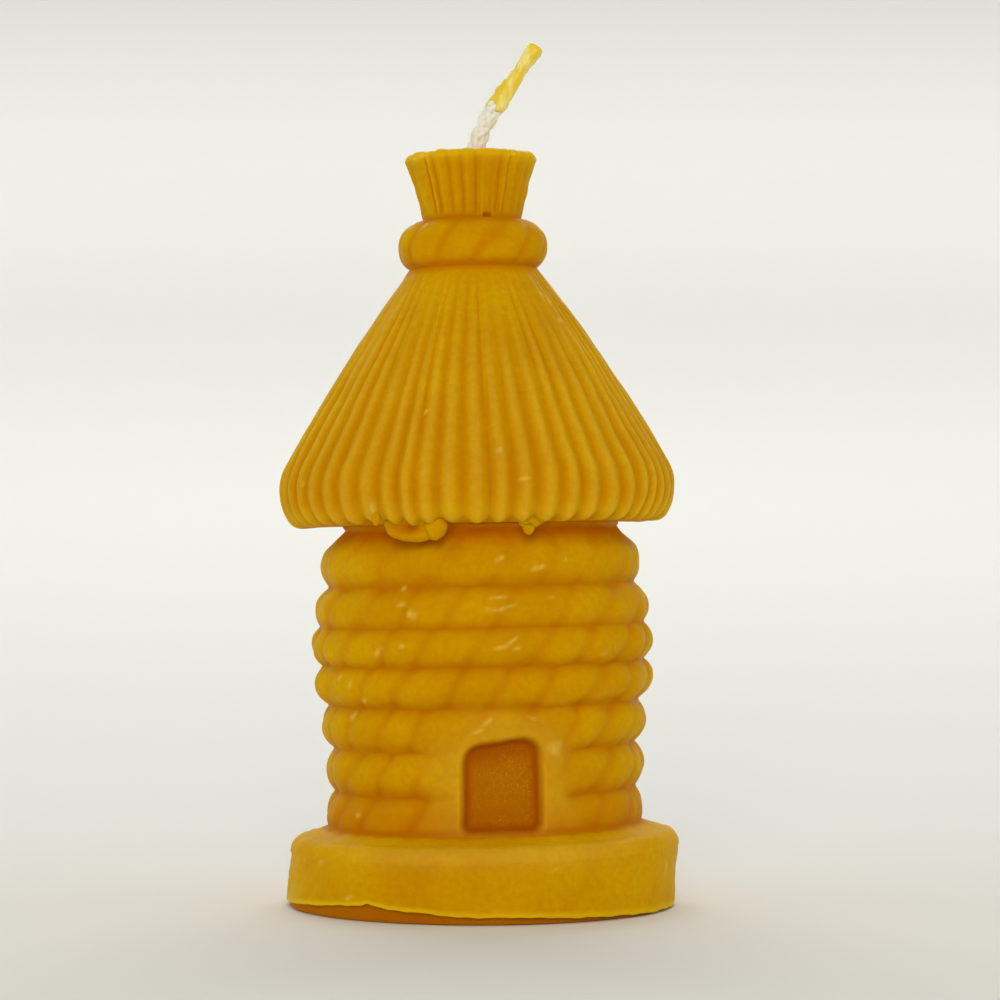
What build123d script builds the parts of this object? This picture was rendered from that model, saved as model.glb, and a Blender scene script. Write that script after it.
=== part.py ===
"""Beeswax candle cast in the shape of a thatched straw beehive, with its cotton wick.

Millimetres, +Z up. The origin is the middle of the face that the candle stands on, and the
doorway looks towards -Y. The wax is one casting in real life. It is modelled as the named zones
that it narrows to a neck between, so that each zone is a simple solid, and they meet face to face.
Everything is drawn upright on the casting's own axis and then leant over by `lean`, because the
foot was not poured square to that axis.
"""

import os
from math import cos, radians, sin

from build123d import *

# Driving dimensions.
lean = 1.2  # degrees, towards -X
lean_origin = 0.95  # where the casting's axis meets the floor, along X
overshoot = 1.0  # how far a cutting tool runs past the surface that it cuts

# Plinth: a slab with a rolled top edge, and an inset foot below its skirt.
plinth_top = 10.0
plinth_radius = 23.9
ledge_drop = 0.9  # the ledge falls this much from the hive to the rolled edge
rolled_edge = 1.9
skirt_bottom = 1.2
skirt_skew = -0.7  # the skirt's lower edge is off the axis by this much, along X
foot_radius = 23.1

# Hive: coils of straw rope from the plinth up, as (height, crest radius, radius of groove above).
coils = (
    (4.4, 19.4, 18.2),
    (5.4, 19.4, 18.3),
    (5.2, 20.0, 19.0),
    (4.9, 20.8, 19.6),
    (4.6, 21.0, 19.9),
    (4.9, 20.5, 18.6),
    (6.2, 19.6, 17.0),
)
coil_foot_radius = 18.6
strands_per_coil = 20
strand_slant = 42.0  # degrees from level
strand_mark_radius = 0.75
strand_mark_depth = 0.35
strand_mark_length = 1.5  # as a share of the coil's height

# Doorway: a round-cornered recess with a smooth surround that fills the grooves beside it.
door_azimuth = 6.5  # degrees to +X of the front
door_width = 9.3
door_height = 10.6
door_sill = 10.5
door_corner = 1.9
door_floor_radius = 17.5  # distance of the recess's flat floor from the axis
surround_width = 2.4
surround_radius = 19.5
surround_reach = 29.0  # degrees each side of the doorway that stay free of strand marks

# Roof: a cone of thatch with a rounded eave, as (radius, height) points of its outline.
roof_top = 78.3
roof_top_radius = 7.9
roof_swell = (18.3, 63.1)
eave_shoulder = (23.6, 54.2)
eave_widest = (24.4, 51.2)
eave_bottom = 46.9
eave_bottom_radius = 22.7
roof_flutes = 53
roof_flute_radius = 0.95
roof_flute_depths = (0.08, 0.3, 0.45)  # at the top, at the swell and at the widest
eave_turn_radius = 8.0  # the flutes roll in under the eave along this arc
eave_turn = 60.0  # degrees

# Rope tie round the neck, and the flared straw knot above it.
tie_crest = (9.3, 81.1)  # (radius, height)
tie_top = 84.1
tie_top_radius = 7.3
tie_strands = 12
knot_top = 92.5
knot_bottom_radius = 6.0
knot_top_radius = 8.15
knot_edge = 0.9
knot_flutes = 30
knot_flute_radius = 0.4
knot_flute_depth = 0.16

# Two lumps under the eave, as (azimuth, width, drop).
nubs = ((-18.5, 7.4, 2.3), (18.5, 3.2, 1.6))
nub_ring = 21.0
nub_depth = 2.4
nub_corner = 0.7

# Wick: straight up the axis, then a bend in the knot, then a straight waxed tip.
wick_radius = 1.1
bend_start = 88.5
bend_radius = 17.0
bend_angle = 35.5
tip_length = 9.2
tip_core_radius = 0.7
tip_core_taper = 3.0
tip_core_end = 0.5  # the core stops this far below the coat's end
coat_outline = ((1.22, 0.0), (1.18, 2.2), (0.84, 5.2), (1.08, 8.2))  # (radius, along the tip)
coat_end_radius = 0.75


def on_axis(azimuth, radius=0.0, height=0.0):
    """A plane that faces outwards at an azimuth from the front, with its own Y axis up."""
    outwards = Vector(sin(radians(azimuth)), -cos(radians(azimuth)), 0)
    across = Vector(cos(radians(azimuth)), sin(radians(azimuth)), 0)
    return Plane(origin=outwards * radius + Vector(0, 0, height), x_dir=across, z_dir=outwards)


def strand_marks(azimuths, crest, height):
    """Where the marks between a rope's strands go, on a rope whose crest has this radius."""
    radius = crest + strand_mark_radius - strand_mark_depth
    return [on_axis(azimuth, radius, height) for azimuth in azimuths]


# The hole up the middle of the wax, which the wick fills.
tip_turn = radians(bend_angle)
with BuildPart() as wick_channel:
    with BuildLine() as wick_path:
        rise = Line((0, 0, -overshoot), (0, 0, bend_start))
        bend_end = (bend_radius * (1 - cos(tip_turn)), 0, bend_start + bend_radius * sin(tip_turn))
        RadiusArc(rise @ 1, bend_end, bend_radius)
    with BuildSketch(Plane.XY.offset(-overshoot)):
        Circle(wick_radius)
    sweep()

# Wick: its tip is thinner inside the wax coat. Local X runs across the tip and local Y along it.
tip_section = Plane(origin=bend_end, x_dir=(cos(tip_turn), 0, -sin(tip_turn)), z_dir=(0, -1, 0))
tip_axis = Axis(bend_end, (sin(tip_turn), 0, cos(tip_turn)))
core_end = tip_length - tip_core_end
with BuildPart() as wick:
    add(wick_channel.part)
    with BuildSketch(tip_section):
        Polygon(
            (0, 0),
            (wick_radius, 0),
            (tip_core_radius, tip_core_taper),
            (tip_core_radius, core_end),
            (0, core_end),
            align=None,
        )
    revolve(axis=tip_axis)

# The wax that the wick's tip was dipped in.
with BuildPart() as wick_wax_coat:
    with BuildSketch(tip_section):
        with BuildLine():
            outside = Spline(*coat_outline)
            Line(outside @ 1, (coat_end_radius, tip_length))
            Polyline(
                (coat_end_radius, tip_length),
                (0, tip_length),
                (0, core_end),
                (tip_core_radius, core_end),
                (tip_core_radius, tip_core_taper),
                (wick_radius, 0),
                outside @ 0,
            )
        make_face()
    revolve(axis=tip_axis)

# Plinth. Its foot runs below the floor here, and is cut level once the casting leans.
shoulder_top = plinth_top - ledge_drop
with BuildPart() as base_plinth:
    with BuildSketch(Plane.XY.offset(skirt_bottom)):
        with Locations((skirt_skew, 0)):
            Circle(plinth_radius)
    with BuildSketch(Plane.XY.offset(shoulder_top)):
        Circle(plinth_radius)
    loft()
    fillet(base_plinth.edges().sort_by(Axis.Z)[-1], radius=rolled_edge)
    with BuildSketch(Plane.XZ):
        Polygon(
            (0, skirt_bottom + overshoot),
            (plinth_radius - rolled_edge, shoulder_top),
            (coil_foot_radius, plinth_top),
            (0, plinth_top),
            align=None,
        )
    revolve(axis=Axis.Z)
    with BuildSketch(Plane.XY.offset(-overshoot)):
        with Locations((-lean_origin, 0)):
            Circle(foot_radius)
    extrude(amount=skirt_bottom + 2 * overshoot)
    add(wick_channel.part, mode=Mode.SUBTRACT)

# The doorway's surround, which becomes part of the hive's wall.
surround_height = door_sill + door_height + surround_width - plinth_top
with BuildPart() as door_surround:
    with Locations((0, 0, plinth_top)):
        Cylinder(surround_radius, surround_height, align=(Align.CENTER, Align.CENTER, Align.MIN))
    with BuildSketch(on_axis(door_azimuth, door_floor_radius - overshoot)):
        with Locations((0, plinth_top + surround_height / 2)):
            RectangleRounded(door_width + 2 * surround_width, surround_height, door_corner)
    extrude(amount=surround_radius, mode=Mode.INTERSECT)

# Hive: one bulging ring for each coil of rope, and the doorway.
with BuildPart() as hive_wall:
    with BuildSketch(Plane.XZ):
        with BuildLine():
            low = Vector(coil_foot_radius, plinth_top)
            Line((0, plinth_top), low)
            for height, crest, groove in coils:
                high = Vector(groove, low.Y + height)
                ThreePointArc(low, (crest, low.Y + height / 2), high)
                low = high
            Polyline(low, (low.X, eave_bottom), (0, eave_bottom), (0, plinth_top))
        make_face()
    revolve(axis=Axis.Z)
    add(door_surround.part)
    with BuildSketch(on_axis(door_azimuth, door_floor_radius)):
        with Locations((0, door_sill + door_height / 2)):
            RectangleRounded(door_width, door_height, door_corner)
    extrude(amount=surround_radius, mode=Mode.SUBTRACT)
    add(wick_channel.part, mode=Mode.SUBTRACT)
    # The marks between strands slant across each coil, and stop at the doorway's surround.
    coil_level = plinth_top
    for row, (height, crest, groove) in enumerate(coils):
        beside_door = coil_level < plinth_top + surround_height
        azimuths = [360 / strands_per_coil * (n + row % 2 / 2) - 180 for n in range(strands_per_coil)]
        if beside_door:
            azimuths = [a for a in azimuths if abs(a - door_azimuth) > surround_reach]
        with Locations(*strand_marks(azimuths, crest, coil_level + height / 2)):
            Cylinder(
                strand_mark_radius,
                strand_mark_length * height,
                rotation=(-90, 90 - strand_slant, 0),
                mode=Mode.SUBTRACT,
            )
        coil_level += height

# One flute of the thatch, which deepens down the slope and then rolls in under the eave.
top_offset, swell_offset, eave_offset = (roof_flute_radius - depth for depth in roof_flute_depths)
with BuildPart() as roof_flute:
    with BuildLine(Plane.XZ) as flute_path:
        down_slope = ThreePointArc(
            (roof_top_radius + top_offset, roof_top + overshoot),
            (roof_swell[0] + swell_offset, roof_swell[1] + swell_offset),
            (eave_widest[0] + eave_offset, eave_widest[1]),
        )
        JernArc(down_slope @ 1, down_slope % 1, eave_turn_radius, -eave_turn)
    with BuildSketch(flute_path.line ^ 0):
        Circle(roof_flute_radius)
    sweep()

# Roof: the thatch cone, with its flutes all round.
with BuildPart() as roof_thatch:
    with BuildSketch(Plane.XZ):
        with BuildLine():
            ThreePointArc((roof_top_radius, roof_top), roof_swell, eave_shoulder)
            ThreePointArc(eave_shoulder, eave_widest, (eave_bottom_radius, eave_bottom))
            Polyline(
                (eave_bottom_radius, eave_bottom),
                (0, eave_bottom),
                (0, roof_top),
                (roof_top_radius, roof_top),
            )
        make_face()
    revolve(axis=Axis.Z)
    with PolarLocations(0, roof_flutes):
        add(roof_flute.part, mode=Mode.SUBTRACT)
    add(wick_channel.part, mode=Mode.SUBTRACT)

# Tie: a turn of rope round the neck.
with BuildPart() as roof_tie:
    with BuildSketch(Plane.XZ):
        with BuildLine():
            ThreePointArc((roof_top_radius, roof_top), tie_crest, (tie_top_radius, tie_top))
            Polyline(
                (tie_top_radius, tie_top),
                (0, tie_top),
                (0, roof_top),
                (roof_top_radius, roof_top),
            )
        make_face()
    revolve(axis=Axis.Z)
    add(wick_channel.part, mode=Mode.SUBTRACT)
    tie_azimuths = [360 / tie_strands * n for n in range(tie_strands)]
    with Locations(*strand_marks(tie_azimuths, tie_crest[0], tie_crest[1])):
        Cylinder(
            strand_mark_radius,
            strand_mark_length * (tie_top - roof_top),
            rotation=(-90, 90 - strand_slant, 0),
            mode=Mode.SUBTRACT,
        )

# One flute of the straw knot.
knot_flute_offset = knot_flute_radius - knot_flute_depth
with BuildPart() as knot_flute:
    with BuildLine(Plane.XZ) as knot_path:
        Line(
            (knot_bottom_radius + knot_flute_offset, tie_top),
            (knot_top_radius + knot_flute_offset, knot_top),
        )
    with BuildSketch(knot_path.line ^ 0):
        Circle(knot_flute_radius)
    sweep()

# Knot: the straw that stands up above the tie, flared, with a rounded lip.
with BuildPart() as topknot:
    with BuildSketch(Plane.XZ):
        outline = Polygon(
            (0, tie_top),
            (knot_bottom_radius, tie_top),
            (knot_top_radius, knot_top),
            (0, knot_top),
            align=None,
        )
        fillet(outline.vertices().group_by(Axis.Z)[-1].sort_by(Axis.X)[-1], radius=knot_edge)
    revolve(axis=Axis.Z)
    add(wick_channel.part, mode=Mode.SUBTRACT)
    with PolarLocations(0, knot_flutes):
        add(knot_flute.part, mode=Mode.SUBTRACT)

# Lumps of wax that hang from the eave's underside at the front.
with BuildPart() as eave_nubs:
    for azimuth, width, drop in nubs:
        with BuildSketch(on_axis(azimuth, nub_ring - nub_depth / 2, eave_bottom)):
            Rectangle(width, drop, align=(Align.CENTER, Align.MAX))
        extrude(amount=nub_depth)
    fillet(eave_nubs.faces().group_by(Axis.Z)[0].edges(), radius=nub_corner)

pieces = {
    "base_plinth": base_plinth,
    "hive_wall": hive_wall,
    "roof_thatch": roof_thatch,
    "roof_tie": roof_tie,
    "topknot": topknot,
    "eave_nubs": eave_nubs,
    "wick": wick,
    "wick_wax_coat": wick_wax_coat,
}
os.makedirs("parts", exist_ok=True)
for name, upright in pieces.items():
    with BuildPart() as piece:
        with Locations(Location((lean_origin, 0, 0), (0, -lean, 0))):
            add(upright.part)
        split(bisect_by=Plane.XY)
    piece.part.label = name
    export_step(piece.part, f"parts/{name}.step")
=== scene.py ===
"""Beeswax candle in the shape of a straw beehive: the looks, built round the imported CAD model.

The wax is one casting. Most of it is two meshes that meet under the eave, hive_wax and roof_wax.
Each is an outline turned round the casting's axis, with the straw's relief worked into its
surface. eave_nub_wax is the lumps that hang from the eave. The wick is a real braid, and its tip
has a dipped coat of wax.

Work is done in millimetres on the casting's own upright axis. `to_world` leans it over and gives
metres. The azimuth is 0 at the front, which is -Y, and grows towards +X.
"""

import math

import bpy
import numpy as np
from mathutils import Matrix, Vector


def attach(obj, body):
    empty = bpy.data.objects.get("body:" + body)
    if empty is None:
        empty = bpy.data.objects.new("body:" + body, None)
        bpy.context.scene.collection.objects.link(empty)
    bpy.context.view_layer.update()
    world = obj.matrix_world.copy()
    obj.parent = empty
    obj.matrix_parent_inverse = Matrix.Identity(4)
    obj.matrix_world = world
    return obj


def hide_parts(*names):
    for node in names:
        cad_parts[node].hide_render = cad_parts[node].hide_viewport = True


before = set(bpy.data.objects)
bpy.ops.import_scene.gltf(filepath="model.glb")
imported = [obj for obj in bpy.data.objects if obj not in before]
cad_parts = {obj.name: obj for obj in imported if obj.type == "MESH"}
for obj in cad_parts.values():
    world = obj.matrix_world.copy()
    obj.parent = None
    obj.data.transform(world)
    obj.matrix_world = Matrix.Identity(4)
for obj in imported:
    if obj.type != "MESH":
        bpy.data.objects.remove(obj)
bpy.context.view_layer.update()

MM = 0.001
TURN = 2 * math.pi

# How the casting stands, as in the CAD model.
LEAN = math.radians(1.2)  # towards -X
LEAN_ORIGIN = 0.95

# Plinth.
FOOT_RADIUS = 23.1
SKIRT_SKEW = -0.7
ROLLED_EDGE = 1.9
LEDGE_DROP = 0.9

# Hive coils from the plinth up: height, crest radius, radius of the groove above, and how high the
# crest is above the groove below.
COILS = (
    (4.4, 19.45, 18.3, 1.32),
    (5.4, 19.5, 18.4, 2.7),
    (5.2, 20.0, 19.0, 2.6),
    (4.9, 20.8, 19.6, 2.45),
    (4.6, 21.0, 19.9, 2.3),
    (4.9, 20.5, 18.7, 2.45),
    (6.9, 19.6, 16.6, 2.6),
)
# Strands round each coil, and how deep the marks between them are.
COIL_STRANDS = ((19, 0.24), (20, 0.27), (21, 0.26), (20, 0.29), (20, 0.27), (19, 0.24), (18, 0.13))
STRAND_SLANT = math.radians(55)
COIL_RADIUS = 20.0  # a middling one, which lengths round the hive are measured on
COIL_FOOT_RADIUS = 19.2
TOP_COIL_SHOULDER = (19.0, 4.5)  # radius and height up the coil where its straight slope starts
HIVE_SKEW = 0.2  # the coils sit this far to +X of the axis
NECK_RADIUS = 17.0

# Doorway.
DOOR_AZIMUTH = math.radians(6.1)
DOOR_WIDTH = 9.6
DOOR_SILL = 10.15
DOOR_HEAD = 21.2
DOOR_CORNER = (1.3, 2.3)  # at the sill and at the head
DOOR_HEAD_SLOPE = 0.09  # it rises to the right
DOOR_SIDE_SLOPE = 0.018  # each side goes out towards the sill
DOOR_EDGE_RADIUS = 19.3
DOOR_FLOOR = 17.5
SURROUND_RADIUS = 19.45
SURROUND_FADE = (0.6, 5.2)  # distances from the doorway's edge where it starts and ends

# Roof outline, where pairs are radius and height, and its ridges of straw.
ROOF_TOP_RADIUS = 7.9
ROOF_SWELL = (18.3, 63.1)
EAVE_SHOULDER = (23.6, 54.2)
EAVE_WIDEST = (24.4, 51.2)
EAVE_BOTTOM_RADIUS = 22.7
RIDGES = 53
RIDGE_WANDER = 0.75
RIDGE_DEPTH = (0.48, 0.14)  # at the eave and under the tie

# Tie and knot.
TIE_CREST = (9.3, 81.1)  # radius and height
TIE_TOP_RADIUS = 7.0
TIE_STRANDS = 11
KNOT_BOTTOM_RADIUS = 6.05
KNOT_SIDE = (6.95, 3.9)  # a point on its flare: radius, and height above the tie
KNOT_TOP_RADIUS = 8.15
KNOT_EDGE = 0.9
FLUTES = 24
FINE_FLUTES = 61

# Wick.
WICK_RADIUS = 1.1
BEND_START = 88.5
BEND_RADIUS = 17.0
BEND_ANGLE = math.radians(35.5)
TIP_LENGTH = 9.2
TIP_START = BEND_START + BEND_RADIUS * BEND_ANGLE  # along the wick, from its foot
TIP_OUTLINE = (  # distance along the tip, and radius of its wax
    (-0.6, 1.24), (1.2, 1.24), (2.4, 1.16), (3.8, 0.98), (5.3, 0.84),
    (6.6, 0.85), (7.6, 0.98), (8.4, 1.08), (9.2, 0.98),
)
BRAID_LAY = 7.6  # a yarn goes once round the wick in this length
YARNS_EACH_WAY = 4
YARN_RADIUS = 0.36
LOOSE_FIBRES = 70

# Fineness of the wax meshes.
COLUMNS = 420  # faces all round
COIL_ROWS_PER_MM = 4.2
COIL_ROWS_LEAST = 14
TOP_COIL_SLOPE_ROWS = 9


def upright(node):
    """The CAD node's points in millimetres, on the casting's own upright axis."""
    points = np.array([v.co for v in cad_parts[node].data.vertices]) / MM
    x = points[:, 0] - LEAN_ORIGIN
    z = points[:, 2]
    return np.stack(
        [
            x * math.cos(LEAN) + z * math.sin(LEAN),
            points[:, 1],
            z * math.cos(LEAN) - x * math.sin(LEAN),
        ],
        axis=1,
    )


def to_world(points):
    """Leans upright millimetre points over, and gives metres."""
    x, y, z = points[..., 0], points[..., 1], points[..., 2]
    leant = np.stack(
        [
            x * math.cos(LEAN) - z * math.sin(LEAN) + LEAN_ORIGIN,
            y,
            z * math.cos(LEAN) + x * math.sin(LEAN),
        ],
        axis=-1,
    )
    return leant * MM


# The heights where the zones meet come from the frame.
PLINTH_TOP = upright("hive_wall")[:, 2].min()
EAVE_BOTTOM = upright("hive_wall")[:, 2].max()
ROOF_TOP = upright("roof_thatch")[:, 2].max()
TIE_TOP = upright("roof_tie")[:, 2].max()
KNOT_TOP = upright("topknot")[:, 2].max()
PLINTH_RADIUS = upright("base_plinth")[:, 1].max()
SHOULDER = PLINTH_TOP - LEDGE_DROP  # the top of the rolled edge
SKIRT_TOP = SHOULDER - ROLLED_EDGE
LEDGE_END = (COIL_FOOT_RADIUS + 0.35, PLINTH_TOP - 0.1)

# Height of the skirt's ragged lower lip above the floor, as (azimuth in degrees, height).
LIP = (
    (-180, 0.45), (-150, 0.6), (-120, 0.5), (-90, 0.7), (-70, 1.0), (-52, 1.5), (-42, 1.8), (-36, 1.95),
    (-34, 2.3), (-31, 2.0), (-27, 1.7), (-20, 1.5), (-12, 1.25), (0, 1.0), (14, 0.95), (36, 0.6),
    (50, 0.45), (70, 0.3), (90, 0.25), (120, 0.4), (150, 0.3), (180, 0.45),
)

# Crumbs and scratches of paler wax, and painted glints: azimuth in degrees, height, length,
# width, and how far the length leans up to the right, in degrees.
COIL_CRUMBS_AND_GLINTS = (
    (-29, 39.3, 0.7, 0.5, 20), (-28, 37.4, 1.1, 0.5, 0), (-23.6, 36.2, 1.3, 0.9, -20),
    (4.5, 36.6, 2.2, 0.35, -8), (8.5, 37.0, 2.0, 0.35, 15), (5.5, 38.1, 2.2, 0.3, 8),
    (24, 38.0, 1.0, 0.3, 5), (6.0, 32.2, 1.6, 0.45, 10), (9.5, 32.9, 2.0, 0.3, 35),
    (-37, 31.7, 1.6, 0.5, 55), (-27, 32.5, 0.8, 0.5, 0), (-56.6, 28.7, 1.0, 0.5, 10),
    (-50.4, 27.8, 1.1, 0.4, 75), (-45.4, 25.8, 0.8, 0.5, 20), (-53, 24.1, 1.3, 0.9, 40),
    (-2.5, 22.3, 1.6, 0.35, 20), (1.5, 23.5, 1.5, 0.45, 40), (17, 23.9, 1.3, 0.3, -25),
    (25, 20.0, 2.1, 1.1, 0), (-52, 12.2, 0.9, 0.6, 0), (31, 42.3, 0.4, 0.4, 0),
    (6.5, 42.6, 1.4, 0.5, 30), (20, 41.4, 1.8, 0.6, 15), (11, 32.0, 0.9, 0.4, 0),
    (44, 31.0, 0.8, 0.3, 0),
)
PLINTH_CRUMBS = (
    (-55, 7.0, 1.3, 1.1, 0), (-63, 7.7, 0.9, 0.9, 0), (-65, 7.0, 0.7, 0.8, 0), (-41, 3.0, 1.0, 0.6, 30),
    (67, 4.9, 1.2, 1.9, 10), (52, 8.0, 1.8, 0.8, 10), (58, 7.7, 1.4, 0.9, 0), (20, 6.2, 0.7, 0.4, 20),
)
ROOF_CHIPS = (
    (50, 74.4, 0.4, 1.5, 0), (53.5, 73.8, 0.4, 1.1, 0), (53, 71.2, 0.9, 0.5, 20),
    (6.7, 55.2, 0.7, 0.5, 0), (13.2, 51.9, 1.2, 0.35, 0), (-17, 60.0, 0.6, 0.4, 60),
    (-31.5, 48.6, 0.6, 1.6, 0), (-60, 52.0, 0.6, 0.5, 0), (-47, KNOT_TOP - 0.6, 1.3, 0.6, 15),
    (-57, KNOT_TOP - 0.9, 0.9, 0.5, -20), (40, KNOT_TOP - 0.7, 0.6, 0.4, 0),
)
KNOT_PIT = (18, TIE_TOP + 0.3, 1.1, 0.6, 0)

# Bundles of straw that lie over their neighbours: azimuth in degrees, width in degrees, lowest and
# highest point, and how far they stand out.
BUNDLES = (
    (-15.5, 8, 61, 79, 0.45), (-17, 8, 46, 63, 0.25), (24, 9, 52, 74, 0.2), (60, 12, 50, 70, 0.25),
    (105, 9, 56, 77, 0.3), (150, 11, 48, 69, 0.25), (-165, 8, 58, 76, 0.3), (-120, 12, 50, 72, 0.25),
    (-70, 10, 55, 75, 0.3),
)

# Lumps under the eave: azimuth in degrees, distance from the axis, height from the eave's bottom,
# half sizes, and the dent in front as (x, width, depth). The first is the torn bubble.
NUBS = (
    (-21.8, 20.7, -0.1, (3.7, 1.4, 2.0), (-0.2, 1.9, 1.2)),
    (-14.3, 20.6, -0.1, (1.45, 1.4, 1.9), (0, 1, 0)),
    (17.2, 20.8, 0.2, (1.6, 1.0, 1.0), (0.9, 0.8, 0.3)),
    (16.4, 20.8, -0.1, (0.8, 0.8, 1.5), (0, 1, 0)),
    (-31.5, 22.9, 1.0, (0.5, 0.55, 1.1), (0, 1, 0)),
)


# ---- Outlines -----------------------------------------------------------------------------


def arc(start, middle, end, count):
    """Points on the arc through three points, without the last one."""
    (ax, ay), (bx, by), (cx, cy) = start, middle, end
    d = 2 * (ax * (by - cy) + bx * (cy - ay) + cx * (ay - by))
    a2, b2, c2 = ax * ax + ay * ay, bx * bx + by * by, cx * cx + cy * cy
    ux = (a2 * (by - cy) + b2 * (cy - ay) + c2 * (ay - by)) / d
    uy = (a2 * (cx - bx) + b2 * (ax - cx) + c2 * (bx - ax)) / d
    r = math.hypot(ax - ux, ay - uy)
    first = math.atan2(ay - uy, ax - ux)
    through = math.atan2(by - uy, bx - ux) - first
    last = math.atan2(cy - uy, cx - ux) - first
    if not (0 < through % TURN < last % TURN):
        sweep = last % TURN - TURN
    else:
        sweep = last % TURN
    angles = first + sweep * np.arange(count) / count
    return np.stack([ux + r * np.cos(angles), uy + r * np.sin(angles)], axis=1)


def rounded_edge(radius, top, rounding, count):
    """A quarter circle from an upright side over to a level top."""
    side = rounding * (1 - math.sqrt(0.5))
    return arc((radius, top - rounding), (radius - side, top - side), (radius - rounding, top), count)


def run(start, end, count, power=1.0):
    """Points on a straight run, without the last one. A power under 1 crowds them at the end."""
    t = (np.arange(count) / count) ** power
    return np.array(start) + t[:, None] * (np.array(end) - np.array(start))


def smooth(low, high, value):
    """0 below low and 1 above high, with a smooth step between."""
    t = np.clip((value - low) / (high - low), 0, 1)
    return t * t * (3 - 2 * t)


def bell(value, width, power=2):
    """1 where the value is 0, and nearly 0 well beyond the width."""
    return np.exp(-((value / width) ** power))


def blend(first, second, share):
    """Goes from the first value to the second as the share goes from 0 to 1."""
    return first * (1 - share) + second * share


def ripple(seed, theta, level, wavelength, count=14, radius=COIL_RADIUS):
    """Seeded smooth noise that closes on itself round the axis, mostly between -1 and 1."""
    rng = np.random.default_rng(seed)
    total = np.zeros(np.broadcast(theta, level).shape)
    for heading, phase, stretch in rng.uniform(0, 1, (count, 3)):
        k = TURN / (wavelength * (0.6 + 0.9 * stretch))
        around = round(k * radius * math.cos(TURN * heading))
        total += np.cos(around * theta + k * math.sin(TURN * heading) * level + TURN * phase)
    return total / math.sqrt(count)


# ---- Relief -------------------------------------------------------------------------------


def strands(theta, level, middle, height, radius, count, depth, seed):
    """Twisted strands on one coil of rope: the relief, which is inwards, and how far in a mark each point
    is, which sets painted shade in the marks.
    """
    rng = np.random.default_rng(seed)
    across_rope = np.clip((level - middle) / (height / 2), -1, 1)
    rise = 0.75 * across_rope + 0.1 * np.arcsin(0.98 * across_rope)
    climb = (height / 2) * rise / math.tan(STRAND_SLANT) / radius
    sways = ((3, 0.12), (7, 0.07), (11, 0.04))
    wander = sum(sway * np.sin(n * theta + rng.uniform(0, TURN)) for n, sway in sways)
    phase = (theta - climb) / TURN * count + wander + rng.uniform()
    cell = np.floor(phase).astype(int) % count
    across = np.abs(2 * (phase - np.floor(phase)) - 1)
    plump = rng.uniform(0.45, 1.3, count)[cell]
    sink = rng.uniform(0.0, 0.25, count)[cell] * (1 - across**4)
    mark = bell(1 - across, 0.3)
    return -depth * (0.45 * across**2 + (0.25 + 0.4 * plump) * mark + sink), mark * (0.4 + 0.6 * plump)


def ridges(theta, count, seed, wander):
    """Ridges side by side: how far each point is from its ridge's crest, from 0 to 1 in the
    groove, and each ridge's number."""
    rng = np.random.default_rng(seed)
    bend = sum(wander / n * np.sin(n * theta + rng.uniform(0, TURN)) for n in (5, 9, 14))
    phase = theta / TURN * count + bend + 0.5
    cell = np.floor(phase).astype(int) % count
    return np.abs(2 * (phase - np.floor(phase)) - 1), cell


def soft_groove(across, width):
    """A rounded ridge with a soft groove at each side: 0 on the crest and 1 in the groove."""
    return (1 - width) * across**2 + width * (0.5 - 0.5 * np.cos(math.pi * across))


def rounded_box(x, y, half_width, half_height, corner):
    """Signed distance from a rounded rectangle, negative inside."""
    qx = np.abs(x) - half_width + corner
    qy = np.abs(y) - half_height + corner
    outside = np.hypot(np.maximum(qx, 0), np.maximum(qy, 0))
    return outside + np.minimum(np.maximum(qx, qy), 0) - corner


# ---- Meshes -------------------------------------------------------------------------------


THETA = (TURN * np.arange(COLUMNS) / COLUMNS - math.pi)[None, :]  # each column's azimuth, as one row


class Turned:
    """An outline of named stretches, turned round the axis, and what is worked into its points."""

    def __init__(self, stretches):
        self.outline = np.concatenate(list(stretches.values()))
        self.radius = self.outline[:, :1]
        self.level = self.outline[:, 1:]
        self.row = np.arange(len(self.outline))[:, None]
        self.rows = {}
        first = 0
        for name, points in stretches.items():
            self.rows[name] = slice(first, first + len(points))
            first += len(points)
        self.relief = np.zeros((len(self.outline), COLUMNS))
        # Painted shade in grooves, creases and dents, as a colour weight.
        self.painted_hollow_shade = np.zeros_like(self.relief)
        # Pale crumbs and chips, with painted sheen and glints, as a colour weight.
        self.pale_and_sheen = np.zeros_like(self.relief)

    def span(self, first, last):
        """The rows from one named stretch to another."""
        return slice(self.rows[first].start, self.rows[last].stop)

    def points(self):
        """The turned points, moved by the relief along the outline's normals. The outline runs up
        the outside."""
        along = np.gradient(self.outline, axis=0)
        along /= np.linalg.norm(along, axis=1)[:, None]
        radius = self.radius + self.relief * along[:, 1:]
        level = self.level - self.relief * along[:, :1]
        return np.stack([radius * np.sin(THETA), -radius * np.cos(THETA), level], axis=-1)


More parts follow.
